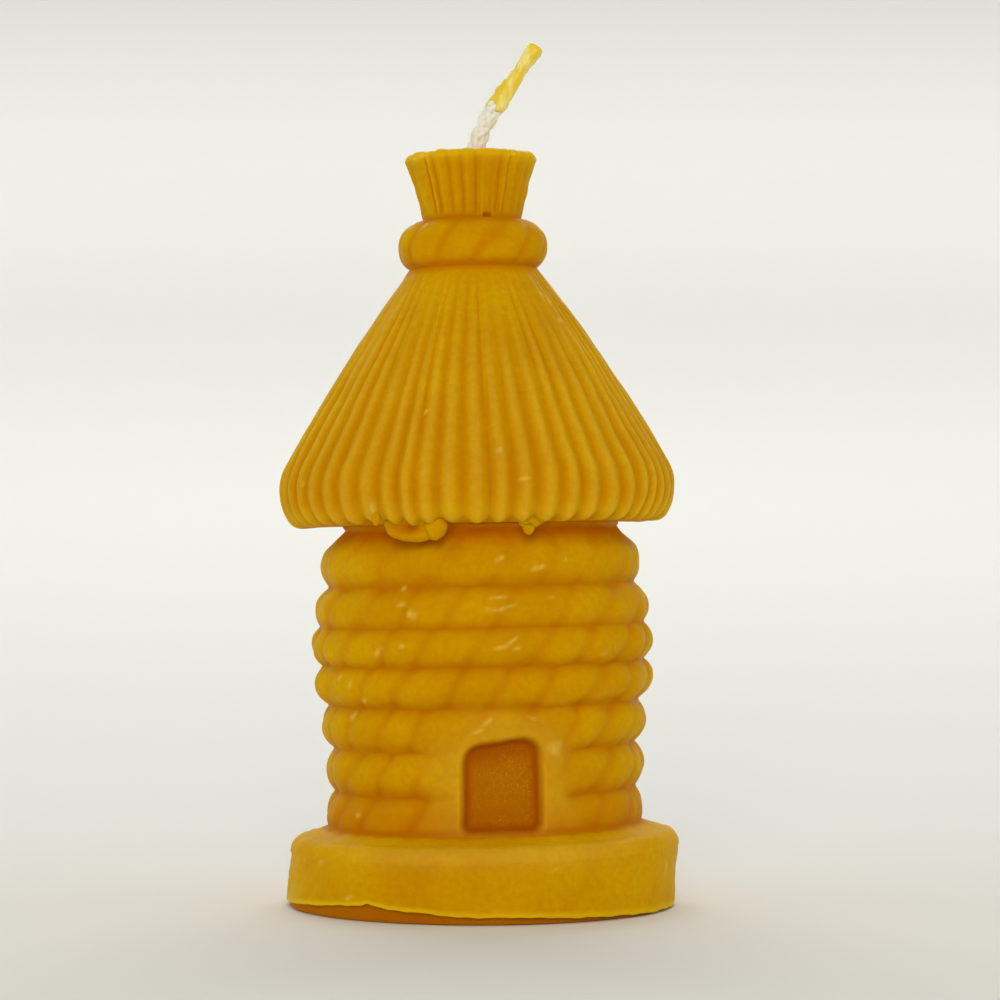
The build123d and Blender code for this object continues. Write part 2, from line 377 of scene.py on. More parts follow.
def grid_mesh(name, points, attributes):
    """A mesh of a grid of points, which closes on itself along its rows and its columns."""
    rows, columns = points.shape[:2]
    index = np.arange(rows * columns).reshape(rows, columns)
    upper = np.roll(index, -1, axis=0)
    right = np.roll(index, -1, axis=1)
    upper_right = np.roll(upper, -1, axis=1)
    faces = np.stack([index, right, upper_right, upper], axis=-1).reshape(-1, 4)
    mesh = bpy.data.meshes.new(name)
    mesh.vertices.add(rows * columns)
    mesh.vertices.foreach_set("co", points.reshape(-1).astype(np.float32))
    mesh.loops.add(faces.size)
    mesh.loops.foreach_set("vertex_index", faces.reshape(-1).astype(np.int32))
    mesh.polygons.add(len(faces))
    mesh.polygons.foreach_set("loop_start", np.arange(0, faces.size, 4, dtype=np.int32))
    mesh.update(calc_edges=True)
    mesh.validate()
    mesh.shade_smooth()
    for label, values in attributes.items():
        layer = mesh.attributes.new(label, "FLOAT", "POINT")
        layer.data.foreach_set("value", values.reshape(-1).astype(np.float32))
    piece = bpy.data.objects.new(name, mesh)
    bpy.context.scene.collection.objects.link(piece)
    return piece


def soften(points, first, last, passes):
    """Rounds creases between rows by averaging each row with its neighbours."""
    for _ in range(passes):
        middle = points[first:last]
        around = points[first - 1 : last - 1] + points[first + 1 : last + 1]
        points[first:last] = 0.5 * middle + 0.25 * around


def floor_level(x):
    """Where the level floor is on the leaning casting's own height scale."""
    return -x * math.tan(LEAN)


def wick_shift(level):
    """How far the wick's middle is to +X at a height, below the end of its bend."""
    rise = np.clip(level - BEND_START, 0, BEND_RADIUS * math.sin(BEND_ANGLE))
    return BEND_RADIUS - np.sqrt(BEND_RADIUS**2 - rise**2)


def around_from(azimuth):
    """Each column's azimuth counted from this one, between half a turn back and half a turn on."""
    return (THETA - azimuth + math.pi) % TURN - math.pi


def crumbs(level, radius, spots):
    """How much of a spot each point is in, from 0 to 1: crumbs, chips, dents and painted glints."""
    total = np.zeros(np.broadcast(THETA, level).shape)
    for azimuth, height, length, width, tilt in spots:
        x = around_from(math.radians(azimuth)) * radius
        z = level - height
        cos, sin = math.cos(math.radians(tilt)), math.sin(math.radians(tilt))
        along = (x * cos + z * sin) / (length / 2)
        over = (z * cos - x * sin) / (width / 2)
        total = np.maximum(total, np.exp(-(along**4) - over**2))
    return np.clip(total * (0.85 + 0.25 * ripple(64, THETA, level, 1.1, 20)), 0, 1)


# ---- Foot, plinth and hive ----------------------------------------------------------------


TOP_COIL = f"coil_{len(COILS) - 1}"


def coil_stretches():
    """Each coil's stretch of outline, its middle height, height and crest radius, and the end."""
    stretches, sizes = {}, []
    low = np.array((COIL_FOOT_RADIUS, PLINTH_TOP))
    for number, (height, crest, groove, crest_height) in enumerate(COILS):
        high = np.array((groove, low[1] + height))
        widest = (crest, low[1] + crest_height)
        rows = max(COIL_ROWS_LEAST, round(height * COIL_ROWS_PER_MM))
        if number < len(COILS) - 1:
            points = arc(low, widest, high, rows)
        else:
            shoulder = (TOP_COIL_SHOULDER[0], low[1] + TOP_COIL_SHOULDER[1])
            slope = run(shoulder, high, TOP_COIL_SLOPE_ROWS)
            points = np.concatenate([arc(low, widest, shoulder, rows - len(slope)), slope])
        stretches[f"coil_{number}"] = points
        sizes.append((low[1] + height / 2, height, crest))
        low = high
    return stretches, sizes, low


def hive_stretches():
    """The outline from the wick's foot up the outside to the neck, and back down the wick's
    channel. The first four stretches get their places later, since the floor cuts them."""
    coils, sizes, top = coil_stretches()
    stretches = {
        "bottom": run((WICK_RADIUS, 0), (FOOT_RADIUS - 0.3, 0), 14, 0.7),
        "foot": run((FOOT_RADIUS, 0.3), (FOOT_RADIUS, 1.0), 4),
        "lip": run((FOOT_RADIUS + 0.1, 1.0), (PLINTH_RADIUS - 0.15, 1.0), 3),
        "skirt": run((PLINTH_RADIUS, 1.2), (PLINTH_RADIUS, SKIRT_TOP), 24),
        "roll": rounded_edge(PLINTH_RADIUS, SHOULDER, ROLLED_EDGE, 10),
        "ledge": run((PLINTH_RADIUS - ROLLED_EDGE, SHOULDER), LEDGE_END, 12),
        **coils,
        "neck": run(top, (NECK_RADIUS, EAVE_BOTTOM), 3),
        "cap": run((NECK_RADIUS, EAVE_BOTTOM), (WICK_RADIUS, EAVE_BOTTOM), 8),
        "channel": run((WICK_RADIUS, EAVE_BOTTOM), (WICK_RADIUS, 0), 6),
    }
    return stretches, sizes


def add_coil_relief(hive, sizes):
    """The rope's strands, and slow waves over all the coils."""
    for number, (middle, height, crest) in enumerate(sizes):
        zone = hive.rows[f"coil_{number}"]
        count, depth = COIL_STRANDS[number]
        sink, mark = strands(THETA, hive.level[zone], middle, height, crest, count, depth, 31 + number)
        hive.relief[zone] += sink
        groove = np.abs(hive.level[zone] - middle) / (height / 2)
        # Painted shade in the strands' marks and in the grooves between coils.
        hive.painted_hollow_shade[zone] += 1.2 * mark * depth + 0.7 * groove**4
    zone = hive.span("coil_0", "neck")
    hive.relief[zone] += 0.13 * ripple(51, THETA, hive.level[zone], 8.0)
    hive.relief[zone] += 0.04 * ripple(52, THETA, hive.level[zone], 2.6, 20)


def add_plinth_relief(hive):
    """A painted sheen on the rolled edge in front, and slow waves over the edge and the ledge."""
    sheen_row = hive.rows["roll"].start + 3
    hive.pale_and_sheen += 0.14 * bell(THETA, 0.75, 4) * bell(hive.row - sheen_row, 5.0)
    zone = hive.span("roll", "ledge")
    hive.relief[zone] += 0.05 * ripple(53, THETA, hive.radius[zone], 3.0)


def door_outline(hive, turn):
    """Each point's signed distance from the doorway's edge, and from the height of its head."""
    across = DOOR_EDGE_RADIUS * np.sin(turn) + 0 * hive.level
    head = DOOR_HEAD + DOOR_HEAD_SLOPE * across
    half_width = DOOR_WIDTH / 2 + DOOR_SIDE_SLOPE * (DOOR_HEAD - hive.level)
    over_middle = hive.level - (DOOR_SILL + head) / 2
    corner = blend(DOOR_CORNER[0], DOOR_CORNER[1], smooth(-1, 1, over_middle))
    edge = rounded_box(across, over_middle, half_width, (head - DOOR_SILL) / 2, corner)
    return edge, hive.level - head


def lip_height():
    """The skirt's lower lip above the floor, all round."""
    azimuths, heights = zip(*LIP)
    plain = np.interp(np.degrees(THETA), azimuths, heights)
    return plain + 0.07 * ripple(11, THETA, 0.0, 2.6)


def shape_bottom(hive, _):
    """The underside: level with the floor at its rim, and a little dished."""
    radius = hive.radius[hive.rows["bottom"]] + 0 * THETA
    x = -LEAN_ORIGIN * (radius / FOOT_RADIUS) ** 2 + radius * np.sin(THETA)
    dish = 0.28 * (1 - smooth(0.0, 0.9, radius / FOOT_RADIUS)) + 0.02
    return x, radius, floor_level(x) + dish * smooth(FOOT_RADIUS - 0.6, FOOT_RADIUS - 4, radius)


def shape_foot(hive, up):
    """The foot's side, which stands up from the floor to just under the lip."""
    radius = hive.radius[hive.rows["foot"]] + 0.05 * ripple(12, THETA, 0.0, 6.0)
    x = -LEAN_ORIGIN + radius * np.sin(THETA)
    return x, radius, floor_level(x) + 0.12 + up * np.maximum(lip_height() - 0.25, 0.05)


def shape_lip(_, up):
    """The skirt's ragged lower face, from the foot out to the skirt."""
    radius = FOOT_RADIUS + 0.05 + up * (PLINTH_RADIUS - 0.12 - FOOT_RADIUS)
    radius = radius + 0.05 * ripple(13, THETA, 0.0, 2.0)
    x = blend(-LEAN_ORIGIN, SKIRT_SKEW, up) + radius * np.sin(THETA)
    return x, radius, floor_level(x) + np.maximum(lip_height() - 0.10 + 0.05 * up, 0.18)


def shape_skirt(hive, up):
    """The skirt's side, from its lip up to the rolled edge, with its crumbs."""
    wobble = 0.07 * ripple(14, THETA, 8 * up, 7.0) + 0.03 * ripple(15, THETA, 8 * up, 2.2, 20)
    radius = PLINTH_RADIUS - 0.1 + wobble * (1 - smooth(0.8, 1.0, up))
    x = SKIRT_SKEW * (1 - up) + radius * np.sin(THETA)
    lip = floor_level(x) + np.maximum(lip_height(), 0.22)
    level = lip + up * (SKIRT_TOP - lip)
    dots = crumbs(level, PLINTH_RADIUS, PLINTH_CRUMBS)
    hive.pale_and_sheen[hive.rows["skirt"]] += 0.35 * dots
    x = x + 0.25 * dots * np.sin(THETA)
    return x, radius + 0.25 * dots * (1 - smooth(0.85, 1.0, up)), level


def stand_on_floor(hive, points):
    """Stands the foot level on the floor, and hangs the skirt from the rolled edge."""
    shapes = {"bottom": shape_bottom, "foot": shape_foot, "lip": shape_lip, "skirt": shape_skirt}
    for name, shape in shapes.items():
        zone = hive.rows[name]
        count = zone.stop - zone.start
        x, radius, level = shape(hive, (np.arange(count) / count)[:, None])
        points[zone] = np.stack([x, -radius * np.cos(THETA), level], axis=-1)


def shade_seam(hive):
    """A dark seam of shade where the lowest coil meets the ledge."""
    seam = bell(hive.level - PLINTH_TOP, 0.8) * (hive.radius < 20.5) * (hive.radius > 17)
    seam = seam * bell(np.maximum(hive.radius - 19.5, 0), 0.5)
    hive.painted_hollow_shade = np.maximum(hive.painted_hollow_shade, 0.9 * seam)
    lowest = hive.rows["coil_0"]
    hive.painted_hollow_shade[lowest] += 0.3 * (1 - smooth(2.0, 4.6, hive.level[lowest] - PLINTH_TOP))


def build_hive_wax():
    """Foot, plinth, coils of rope and doorway."""
    stretches, coil_sizes = hive_stretches()
    hive = Turned(stretches)
    level = hive.level
    add_coil_relief(hive, coil_sizes)
    add_plinth_relief(hive)

    # The doorway, and the smooth wax near it. Both are only on the coils.
    coil_rows = hive.span("coil_0", TOP_COIL)
    on_coils = np.zeros_like(hive.relief)
    on_coils[coil_rows] = 1
    turn = around_from(DOOR_AZIMUTH)
    edge, over_head = door_outline(hive, turn)
    in_front = on_coils * (np.cos(turn) > 0.3)
    near = in_front * (1 - smooth(*SURROUND_FADE, edge + 0.6 * ripple(61, THETA, level, 6.0)))
    recess = in_front * (1 - smooth(-0.42, 0.18, edge))
    # The lowest coils are darker towards the bottom.
    hive.painted_hollow_shade += 0.28 * (1 - smooth(PLINTH_TOP + 2, PLINTH_TOP + 9, level)) * on_coils
    hive.painted_hollow_shade *= 1 - near
    # Crumbs, and painted glints, on the coils.
    crumb_and_glint = crumbs(level, COIL_RADIUS, COIL_CRUMBS_AND_GLINTS) * on_coils
    # A faint painted sheen on the smooth wax round the doorway.
    hive.pale_and_sheen += 0.48 * crumb_and_glint + 0.07 * near * (1 - recess)

    points = hive.points()
    surround = SURROUND_RADIUS + 0.06 * ripple(62, THETA, level, 4.0) + 0.2 * crumb_and_glint
    door_floor = DOOR_FLOOR / np.maximum(np.cos(turn), 0.4) + 0.02 * ripple(63, THETA, level, 0.9, 20)
    radius = np.maximum(np.hypot(points[..., 0], points[..., 1]), 1e-6)
    wanted = blend(blend(radius, surround, near), door_floor, recess)
    raised = 1 + 0.012 * crumb_and_glint * (1 - near)
    points[..., :2] *= (wanted / radius * raised)[..., None]
    on_outside = hive.radius > 10
    points[..., 0] += HIVE_SKEW * smooth(PLINTH_TOP - 1, PLINTH_TOP + 4, level) * on_outside
    soften(points, coil_rows.start, coil_rows.stop, 2)
    stand_on_floor(hive, points)
    shade_seam(hive)

    lip, skirt = hive.rows["lip"], hive.rows["skirt"]
    # Painted shade on the foot and under the skirt's lip.
    under_lip = np.zeros_like(hive.relief)
    under_lip[hive.span("foot", "lip")] = 0.75
    under_lip[lip.start + 1 : lip.stop] = 0.225
    # Painted light on the skirt's lowest rows, as if lit through the thin lip.
    painted_edge_glow = np.zeros_like(hive.relief)
    painted_edge_glow[skirt.start : skirt.start + 3] = np.array([1.0, 0.8, 0.4])[:, None]
    # Painted shade over the doorway's floor, darkest at its edges and under its head.
    door_shade = np.maximum(smooth(-1.6, -0.2, edge), smooth(-3.5, -0.5, over_head))
    # Painted shade under the eave, orange as where light comes through the wax.
    under_eave = smooth(EAVE_BOTTOM - 3.2, EAVE_BOTTOM - 0.4, level) * on_outside
    attributes = {
        "painted_hollow_shade": np.clip(hive.painted_hollow_shade, 0, 1),
        "painted_recess_shade": np.maximum(recess * (0.72 + 0.28 * door_shade), under_lip),
        "frost": recess * smooth(-0.5, -1.2, edge),
        "painted_eave_shade": 0.7 * under_eave + 0 * THETA,
        "painted_edge_glow": painted_edge_glow,
        "pale_and_sheen": hive.pale_and_sheen,
    }
    return grid_mesh("hive_wax", to_world(points), attributes)


# ---- Roof, tie and knot -------------------------------------------------------------------


def roof_stretches():
    """The outline from the wick out under the eave, up the roof, tie and knot, and back down the
    wick's channel."""
    flare_top = (KNOT_TOP_RADIUS, KNOT_TOP - KNOT_EDGE)
    knot_side = (KNOT_SIDE[0], TIE_TOP + KNOT_SIDE[1])
    return {
        "soffit": run((WICK_RADIUS, EAVE_BOTTOM), (NECK_RADIUS, EAVE_BOTTOM), 6),
        "overhang": run((NECK_RADIUS, EAVE_BOTTOM), (EAVE_BOTTOM_RADIUS, EAVE_BOTTOM), 10),
        "eave": arc((EAVE_BOTTOM_RADIUS, EAVE_BOTTOM), EAVE_WIDEST, EAVE_SHOULDER, 22),
        "slope": arc(EAVE_SHOULDER, ROOF_SWELL, (ROOF_TOP_RADIUS, ROOF_TOP), 84),
        "tie": arc((ROOF_TOP_RADIUS, ROOF_TOP), TIE_CREST, (TIE_TOP_RADIUS, TIE_TOP), 26),
        "tie_ledge": run((TIE_TOP_RADIUS, TIE_TOP), (KNOT_BOTTOM_RADIUS, TIE_TOP), 3),
        "knot": arc((KNOT_BOTTOM_RADIUS, TIE_TOP), knot_side, flare_top, 28),
        "lip": rounded_edge(KNOT_TOP_RADIUS, KNOT_TOP, KNOT_EDGE, 8),
        "top": run((KNOT_TOP_RADIUS - KNOT_EDGE, KNOT_TOP), (WICK_RADIUS, KNOT_TOP), 16),
        "channel": run((WICK_RADIUS, KNOT_TOP), (WICK_RADIUS, EAVE_BOTTOM), 14),
    }


def add_thatch(roof, rng):
    """Ridges of straw, deepest at the eave, and bundles that lie over their neighbours. Each ridge
    fades out at its own height. Gives how far in a groove each point is, and what is thatch."""
    level = roof.level
    _, cell = ridges(THETA, RIDGES, 71, RIDGE_WANDER)
    fade_top = rng.uniform(62, 80, RIDGES)[cell]
    plump = rng.uniform(0.75, 1.2, RIDGES)[cell]
    up = (level - EAVE_BOTTOM) / (ROOF_TOP - EAVE_BOTTOM)
    depth = RIDGE_DEPTH[0] - (RIDGE_DEPTH[0] - RIDGE_DEPTH[1]) * np.clip(up, 0, 1)
    depth = depth * (0.15 + 0.85 * (1 - smooth(-8, 6, level - fade_top)))
    first, last = roof.rows["overhang"].start, roof.rows["slope"].stop
    thatch = smooth(first + 3, first + 9, roof.row) * (1 - smooth(last - 5, last - 1, roof.row))
    across, _ = ridges(THETA + 0.006 * ripple(73, THETA, level, 30.0), RIDGES, 71, RIDGE_WANDER)
    groove = soft_groove(across, 0.8)
    roof.relief += -depth * plump * groove * thatch
    # Painted shade in the grooves between ridges.
    roof.painted_hollow_shade += 0.62 * groove**1.6 * thatch * (depth / RIDGE_DEPTH[0]) ** 0.7
    roof.relief += thatch * (0.12 * ripple(74, THETA, level, 16.0) + 0.05 * ripple(75, THETA, level, 5.0))
    for azimuth, width, low, high, rise in BUNDLES:
        turn = np.degrees(around_from(math.radians(azimuth)))
        band = smooth(-width / 2 - 1.2, -width / 2 + 0.8, turn) * (1 - smooth(0, width, turn))
        span = smooth(low - 2, low + 2, level) * (1 - smooth(high - 5, high + 1, level))
        roof.relief += rise * band * span * thatch
    # A painted sheen on the ridges' crests, fading out high up the roof.
    crest = np.maximum(0, 1 - groove * 1.8) * thatch * (1 - smooth(60, 78, level))
    roof.pale_and_sheen += 0.10 * crest
    return groove, thatch


def add_tie(roof):
    """The strands of the rope tied round the neck."""
    zone = roof.rows["tie"]
    level = roof.level[zone]
    height = TIE_TOP - ROOF_TOP
    sink, mark = strands(THETA, level, ROOF_TOP + height / 2, height, TIE_CREST[0], TIE_STRANDS, 0.2, 81)
    roof.relief[zone] += sink + 0.06 * ripple(82, THETA, level, 4.0, 14, 9.0)
    # Painted shade in the tie's strand marks.
    roof.painted_hollow_shade[zone] += 0.5 * mark


def add_knot(roof, rng):
    """The knot's flutes, and its side's slow waves. Gives which rows are the knot's."""
    across, cell = ridges(THETA, FLUTES, 83, 1.2)
    fine_groove, _ = ridges(THETA, FINE_FLUTES, 84, 1.0)
    groove = rng.uniform(0.3, 1.3, FLUTES)[cell] * soft_groove(across, 0.6)
    first, last = roof.rows["knot"].start, roof.rows["lip"].stop
    fluted = smooth(first, first + 4, roof.row) * (1 - smooth(last - 4, last + 3, roof.row))
    roof.relief -= fluted * (0.26 * groove + 0.05 * fine_groove)
    # Painted shade in the flutes.
    roof.painted_hollow_shade += fluted * (0.55 * groove + 0.1 * fine_groove)
    knot = (roof.row >= first) & (roof.row < roof.rows["top"].stop - 1)
    roof.relief += knot * 0.07 * ripple(85, THETA, roof.level, 3.2, 14, 7.5)
    return knot


def add_knot_top(roof):
    """The straw's cut ends on top, and the wax that climbs the wick."""
    first, last = roof.rows["top"].start, roof.rows["top"].stop
    on_top = smooth(first + 1, first + 4, roof.row) * (roof.row < last)
    cut = ripple(86, THETA, roof.radius * 2.2, 1.8, 22, 5.0)
    climb = 0.55 * np.exp(-((roof.radius - WICK_RADIUS) / 0.7))
    roof.relief += on_top * (0.11 * cut - 0.12 + climb)
    # Painted shade in the hollows between the cut ends.
    roof.painted_hollow_shade += on_top * 0.35 * smooth(0.2, -0.8, cut)


def thin_edges(roof):
    """1 on the knot's lip, and less on the eave's lower edge, where thin wax lets light through and it is
    painted brighter.
    """
    knot = bell(roof.level - KNOT_TOP, 1.3) * (roof.radius > 4)
    eave = 0.4 * bell(roof.level - EAVE_BOTTOM - 0.8, 1.4) * (roof.radius > 22)
    return np.maximum(knot, eave)


def build_roof_wax():
    """Thatch roof, tie and straw knot."""
    roof = Turned(roof_stretches())
    rng = np.random.default_rng(72)
    groove, thatch = add_thatch(roof, rng)
    add_tie(roof)
    knot = add_knot(roof, rng)
    add_knot_top(roof)
    on_neck = (roof.row > roof.rows["slope"].start) * (roof.row < roof.rows["knot"].stop)
    # Painted shade in the creases at the roof's top and over the tie.
    for crease, strength in ((ROOF_TOP, 0.9), (TIE_TOP, 0.8)):
        roof.painted_hollow_shade = np.maximum(roof.painted_hollow_shade, strength * bell(roof.level - crease, 0.7) * on_neck)
    chips = crumbs(roof.level, roof.radius, ROOF_CHIPS) * np.maximum(thatch, knot)
    # The pit is dented, and painted shade goes in it.
    pit = crumbs(roof.level, KNOT_BOTTOM_RADIUS, (KNOT_PIT,)) * knot
    roof.relief += 0.2 * chips - 0.5 * pit
    roof.pale_and_sheen += 0.48 * chips

    # The channel follows the wick, and the knot's top moves across to meet it.
    top, channel, eave = roof.rows["top"], roof.rows["channel"], roof.rows["eave"].start
    follow = np.zeros_like(roof.level)
    follow[top, 0] = np.linspace(0, 1, top.stop - top.start)
    follow[channel] = 1
    points = roof.points()
    points[..., 0] += wick_shift(roof.level) * follow
    droop = 0.12 - 0.24 * groove + 0.16 * ripple(76, THETA, 0.0, 9.0)
    points[..., 2] -= np.clip(bell(roof.row - eave, 4.0) * droop, -0.4, 0.4)
    soften(points, eave - 5, eave + 6, 8)

    # Painted shade on the eave's underside, orange as where light comes through the wax.
    under_eave = (roof.row < eave) * (1 - smooth(18.5, 22.2, roof.radius))
    attributes = {
        "painted_hollow_shade": np.clip(roof.painted_hollow_shade, 0, 1),
        "painted_recess_shade": pit,
        "painted_eave_shade": 0.6 * under_eave + 0 * THETA,
        "frost": np.zeros_like(roof.relief),
        "painted_edge_glow": 0.75 * thin_edges(roof) + 0 * THETA,
        "pale_and_sheen": np.clip(roof.pale_and_sheen, 0, 1),
    }
    return grid_mesh("roof_wax", to_world(points), attributes)


def lump(azimuth, ring, level, radii, dent, seed):
    """A lump of wax with a dent in its front, and how far in the dent each point is."""
    rows, sides = 40, 56
    polar = (np.linspace(-0.49, 0.49, rows) * math.pi)[:, None]
    turn = (TURN * np.arange(sides) / sides)[None, :]
    sphere = np.stack(
        [np.cos(polar) * np.sin(turn), -np.cos(polar) * np.cos(turn), np.sin(polar) + 0 * turn], axis=-1
    )
    swell = 1 + 0.04 * ripple(seed, turn, 3 * np.sin(polar), 2.2, 14, 1.5)
    points = sphere * swell[..., None] * np.array(radii)
    dent_x, dent_width, dent_depth = dent
    inside = bell(points[..., 0] - dent_x, dent_width) * bell(points[..., 2] + 0.3, 0.8)
    points[..., 1] += dent_depth * inside * (points[..., 1] < 0)
    cos, sin = math.cos(azimuth), math.sin(azimuth)
    x = points[..., 0] * cos - points[..., 1] * sin + ring * sin
    y = points[..., 0] * sin + points[..., 1] * cos - ring * cos
    return to_world(np.stack([x, y, points[..., 2] + level], axis=-1)), inside * (sphere[..., 1] < 0)


def build_eave_nubs():
    """Lumps left under the eave: a torn bubble to the left, a tooth to the right and a drip."""
    lumps = [
        lump(math.radians(azimuth), ring, EAVE_BOTTOM + rise, radii, dent, 101 + number)
        for number, (azimuth, ring, rise, radii, dent) in enumerate(NUBS)
    ]
    piece = tubes_mesh("eave_nub_wax", [points for points, _ in lumps])
    # Painted shade inside the torn bubble's dent.
    bubble = lumps[0][1].reshape(-1)
    shade = np.zeros(len(piece.data.vertices), dtype=np.float32)
    shade[: len(bubble)] = bubble
    layer = piece.data.attributes.new("painted_hollow_shade", "FLOAT", "POINT")
    layer.data.foreach_set("value", shade)
    return piece


# ---- Wick ---------------------------------------------------------------------------------


def wick_frame(distance):
    """The wick's middle line at a distance from its foot: points, directions and side vectors."""
    turn = np.clip((distance - BEND_START) / BEND_RADIUS, 0, BEND_ANGLE)
    beyond = np.maximum(distance - TIP_START, 0)
    x = BEND_RADIUS * (1 - np.cos(turn)) + beyond * math.sin(BEND_ANGLE)
    z = np.minimum(distance, BEND_START) + BEND_RADIUS * np.sin(turn) + beyond * math.cos(BEND_ANGLE)
    middle = np.stack([x, 0 * x, z], axis=-1)
    side = np.stack([np.cos(turn), 0 * x, -np.sin(turn)], axis=-1)
    back = np.stack([0 * x, 1 + 0 * x, 0 * x], axis=-1)
    return middle, side, back


def tube(path, radii, sides, lobes=0, lobe_depth=0.0, twist=0.0):
    """Rings of points round a path. The lobes are the yarn's own plies."""
    along = np.gradient(path, axis=0)
    along /= np.linalg.norm(along, axis=1)[:, None]
    first = np.cross(along, np.array([0.0, 1.0, 0.001]))
    first /= np.linalg.norm(first, axis=1)[:, None]
    second = np.cross(along, first)
    angle = TURN * np.arange(sides) / sides
    length = np.concatenate([[0], np.cumsum(np.linalg.norm(np.diff(path, axis=0), axis=1))])
    swell = 1 + lobe_depth * np.abs(np.cos(lobes / 2 * (angle[None, :] + twist * length[:, None])))
    reach = radii[:, None] * swell
    return (
        path[:, None, :]
        + (reach * np.cos(angle))[..., None] * first[:, None, :]
        + (reach * np.sin(angle))[..., None] * second[:, None, :]
    )


def tubes_mesh(name, tubes):
    """One mesh of several capped tubes."""
    verts, faces = [], []
    for rings in tubes:
        rows, sides = rings.shape[:2]
        base = len(verts)
        verts.extend(map(tuple, rings.reshape(-1, 3)))
        for here in range(base, base + (rows - 1) * sides, sides):
            above = here + sides
            for j in range(sides):
                k = (j + 1) % sides
                faces.append((here + j, here + k, above + k, above + j))
        faces.append(tuple(base + j for j in reversed(range(sides))))
        faces.append(tuple(base + (rows - 1) * sides + j for j in range(sides)))
    mesh = bpy.data.meshes.new(name)
    mesh.from_pydata(verts, [], faces)
    mesh.update()
    mesh.shade_smooth()
    piece = bpy.data.objects.new(name, mesh)
    bpy.context.scene.collection.objects.link(piece)
    return piece


def build_wick():
    """Eight yarns braided round each other: four turn one way and four the other."""
    wick_end = TIP_START + TIP_LENGTH - 0.7
    distance = np.arange(0.3, wick_end, 0.22)
    middle, side, back = wick_frame(distance)
    tubes = []
    narrow = 1 - 0.42 * smooth(TIP_START + 0.3, TIP_START + 3.5, distance)
    for way in (1, -1):
        for n in range(YARNS_EACH_WAY):
            start = TURN * n / YARNS_EACH_WAY + (0.4 if way < 0 else 0)
            turn = way * TURN * distance / BRAID_LAY + start
            weave = 0.62 + 0.13 * way * np.cos(2 * (turn * way) + TURN * n / 2)
            ring = (weave * narrow)[:, None]
            path = middle + ring * (np.cos(turn)[:, None] * side + np.sin(turn)[:, None] * back)
            tubes.append(to_world(tube(path, YARN_RADIUS * narrow, 12, 5, 0.16, way * 1.6)))
    tubes.append(to_world(tube(middle, 0.5 * narrow, 10)))
    # Loose fibres stand out of the bare stretch.
    rng = np.random.default_rng(91)
    for _ in range(LOOSE_FIBRES):
        start = rng.uniform(KNOT_TOP + 0.2, TIP_START + 0.6)
        turn = rng.uniform(0, TURN)
        reach = rng.uniform(0.15, 0.75)
        length = rng.uniform(0.4, 1.5)
        t = np.linspace(0, 1, 6)
        m, s, b = wick_frame(start + t * length * rng.choice((-0.4, 1.0)))
        out = 0.95 + reach * t**1.5
        angle = turn + rng.uniform(-0.8, 0.8) * t
        path = m + out[:, None] * (np.cos(angle)[:, None] * s + np.sin(angle)[:, None] * b)
        tubes.append(to_world(tube(path, np.linspace(0.022, 0.01, 6), 4)))
    return tubes_mesh("wick_braid", tubes)


def build_wick_wax():
    """The lumpy coat of wax on the wick's tip, with a ragged lower edge and a blunt, flared end."""
    sides, rows = 64, 90
    angle = (TURN * np.arange(sides) / sides)[None, :]
    t = np.linspace(0, 1, rows)[:, None]
    notch = 0.75 * bell((angle - 4.1 + math.pi) % TURN - math.pi, 0.45)
    ragged = notch + 0.16 * np.sin(3 * angle + 1.0) + 0.1 * np.sin(7 * angle + 0.4)
    along = blend(ragged - 0.35, TIP_LENGTH, t)
    radius = np.interp(along, *zip(*TIP_OUTLINE))
    lumps = 0.05 * ripple(95, angle, along * 3.0, 4.0, 14, 3.0) + 0.03 * np.cos(2 * angle + along * 1.7)
    radius = radius + lumps
    radius *= smooth(-0.004, 0.03, t) * 0.25 + 0.75
    radius *= np.sqrt(np.clip(1 - smooth(0.955, 1.02, t) ** 2, 0.05, 1))
    middle, side, back = wick_frame(TIP_START + along)
    rings = (
        middle
        + (radius * np.cos(angle))[..., None] * side
        + (radius * np.sin(angle))[..., None] * back
    )
    # Close both ends: the lower one goes in to the wick, and the tip is a blunt cap.
    low_centre, _, _ = wick_frame(TIP_START + np.full((1, sides), 0.9))
    tip_centre, _, _ = wick_frame(TIP_START + np.full((1, sides), TIP_LENGTH + 0.05))
    low_in = blend(rings[:1], low_centre, 0.65)
    tip_in = blend(rings[-1:], tip_centre, 0.65)
    rings = np.concatenate([low_in, rings, tip_in])
    return tubes_mesh("wick_wax", [to_world(rings)])


# ---- Materials ----------------------------------------------------------------------------


